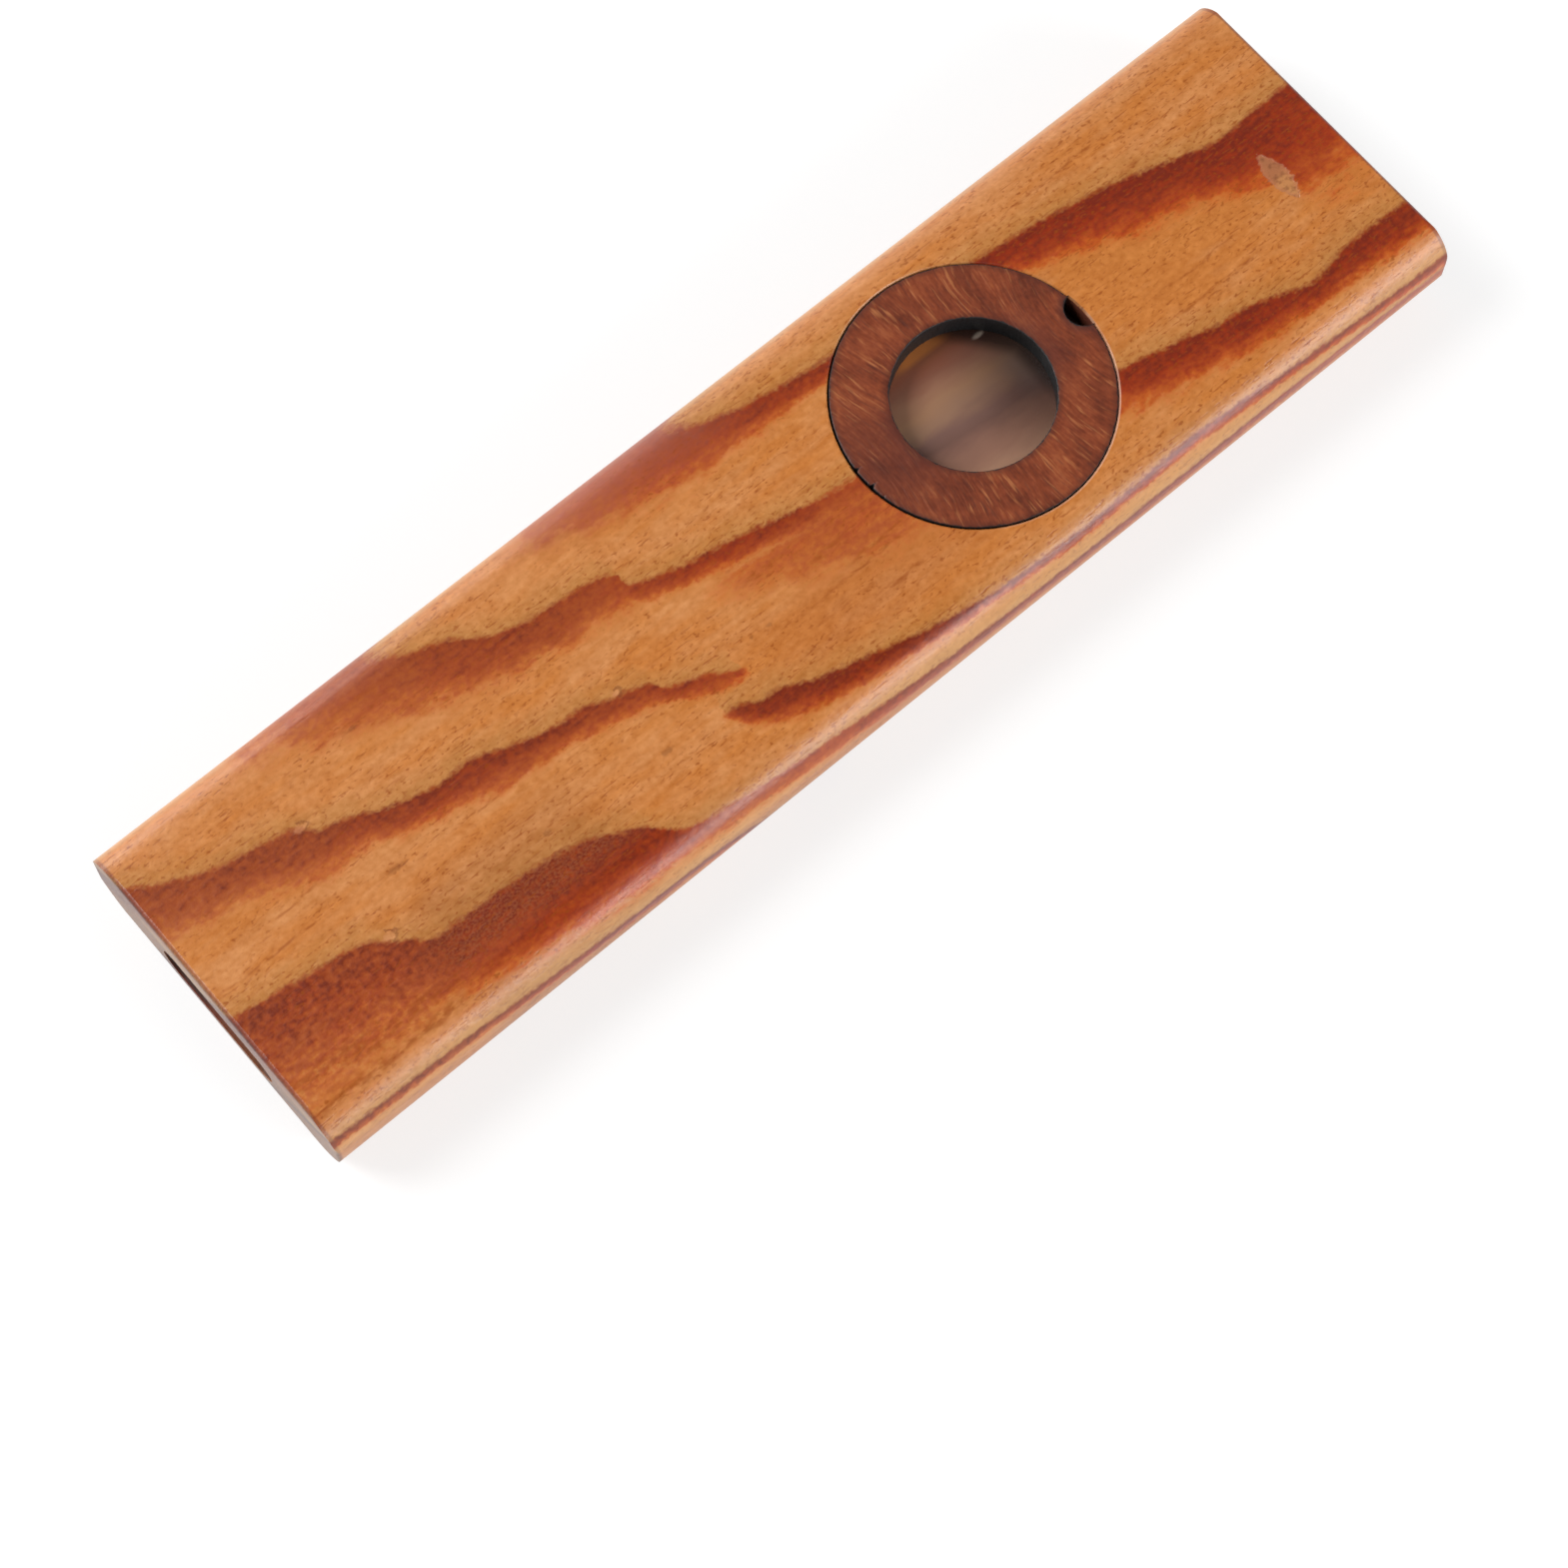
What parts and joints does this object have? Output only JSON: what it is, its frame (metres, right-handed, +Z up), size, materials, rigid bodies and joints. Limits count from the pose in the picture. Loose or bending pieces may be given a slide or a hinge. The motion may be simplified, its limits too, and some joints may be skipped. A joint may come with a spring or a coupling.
{
  "type": "kazoo",
  "caption": "Flat wooden kazoo: a bar with a sound channel from end to end and a round wooden ring that holds a buzzing membrane in a pocket in the top.",
  "frame": {"origin": "centre of the resting face under the bar, halfway between the ends", "axes": "+X along the bar from the mouth end to the outlet end, +Y across the bar, +Z up through the ring"},
  "size_m": [0.12, 0.0316, 0.0096],
  "materials": {
    "light_wood": "striped softwood with dark growth bands under a thin satin lacquer",
    "dark_wood": "dark stained veneer board with charred laser-cut edges",
    "clear_film": "thin taut translucent film, slightly rippled",
    "hoop_card": "stiff near-black hoop with a matte fibrous face, seen dark at the bottom of the ring's notch"
  },
  "bodies": {
    "bar": {"upper_body": "light_wood", "lower_body": "light_wood"},
    "membrane": {"membrane_hoop": "hoop_card", "membrane_film": "clear_film"},
    "ring": {"retaining_ring": "dark_wood"}
  },
  "joints": [
    {"name": "membrane_lift", "type": "slide", "parent": "bar", "child": "membrane", "axis": [0, 0, 1], "range_m": [0, 0.008]},
    {"name": "ring_lift", "type": "slide", "parent": "membrane", "child": "ring", "axis": [0, 0, 1], "range_m": [0, 0.01]}
  ]
}
